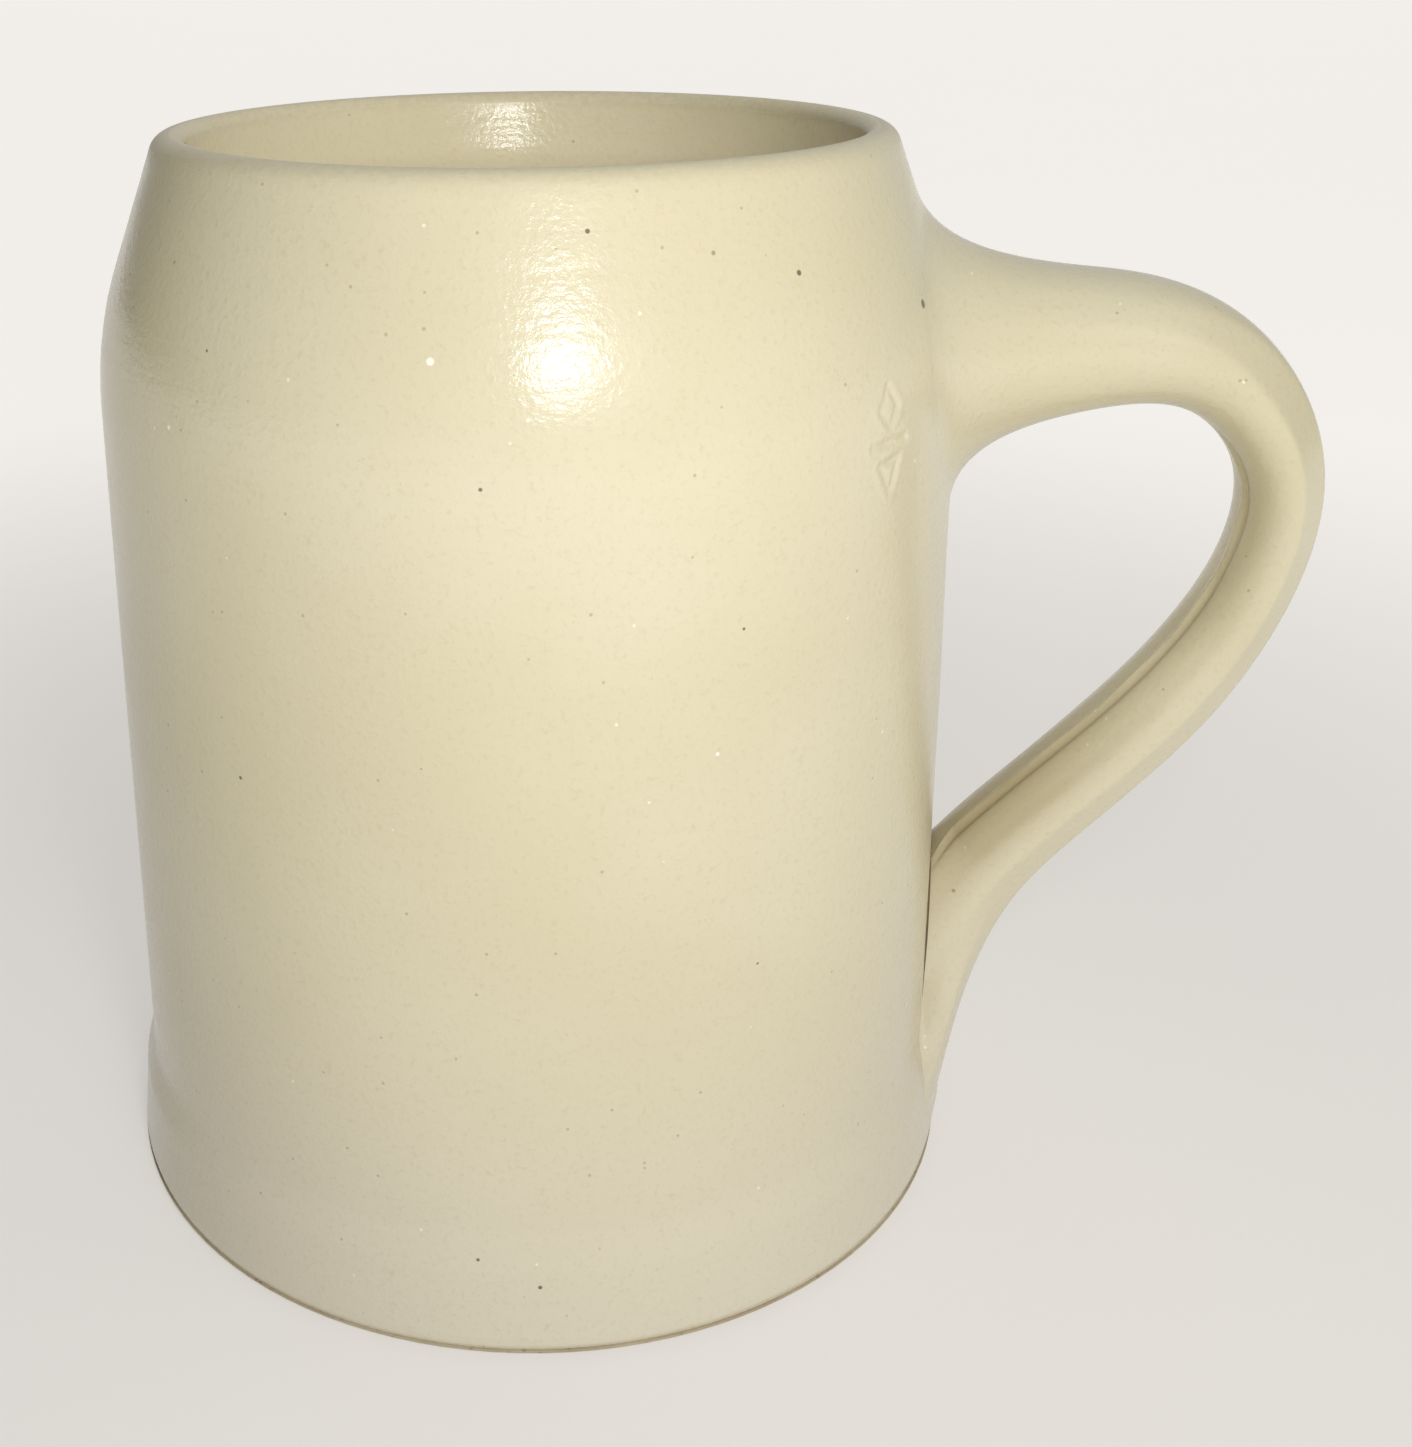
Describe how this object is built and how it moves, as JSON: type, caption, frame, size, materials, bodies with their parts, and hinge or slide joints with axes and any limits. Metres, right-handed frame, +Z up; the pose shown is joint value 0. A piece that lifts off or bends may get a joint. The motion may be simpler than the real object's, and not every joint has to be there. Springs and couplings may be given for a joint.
{
  "type": "stoneware beer mug",
  "caption": "Half-litre stoneware mug with a slightly tapered wall, drawn-in shoulder, thick round lip, soft foot band and a looped handle.",
  "frame": {"origin": "on the axis of the body, in the plane of the foot ring that it stands on", "axes": "+Z up along the axis of the body, +X from the axis towards the handle, in the handle's own plane"},
  "size_m": [0.1378, 0.1022, 0.12],
  "materials": {
    "stoneware": "matt bare stoneware",
    "slip": "matt fired slip",
    "glaze": "clear gloss glaze over beige-grey stoneware, with fine specks"
  },
  "bodies": {
    "root": {"stoneware_body": "stoneware", "handle": "stoneware", "upper_slip_joint": "slip", "lower_slip_joint": "slip", "inside_glaze": "glaze", "outside_glaze": "glaze", "handle_glaze": "glaze"}
  },
  "joints": []
}
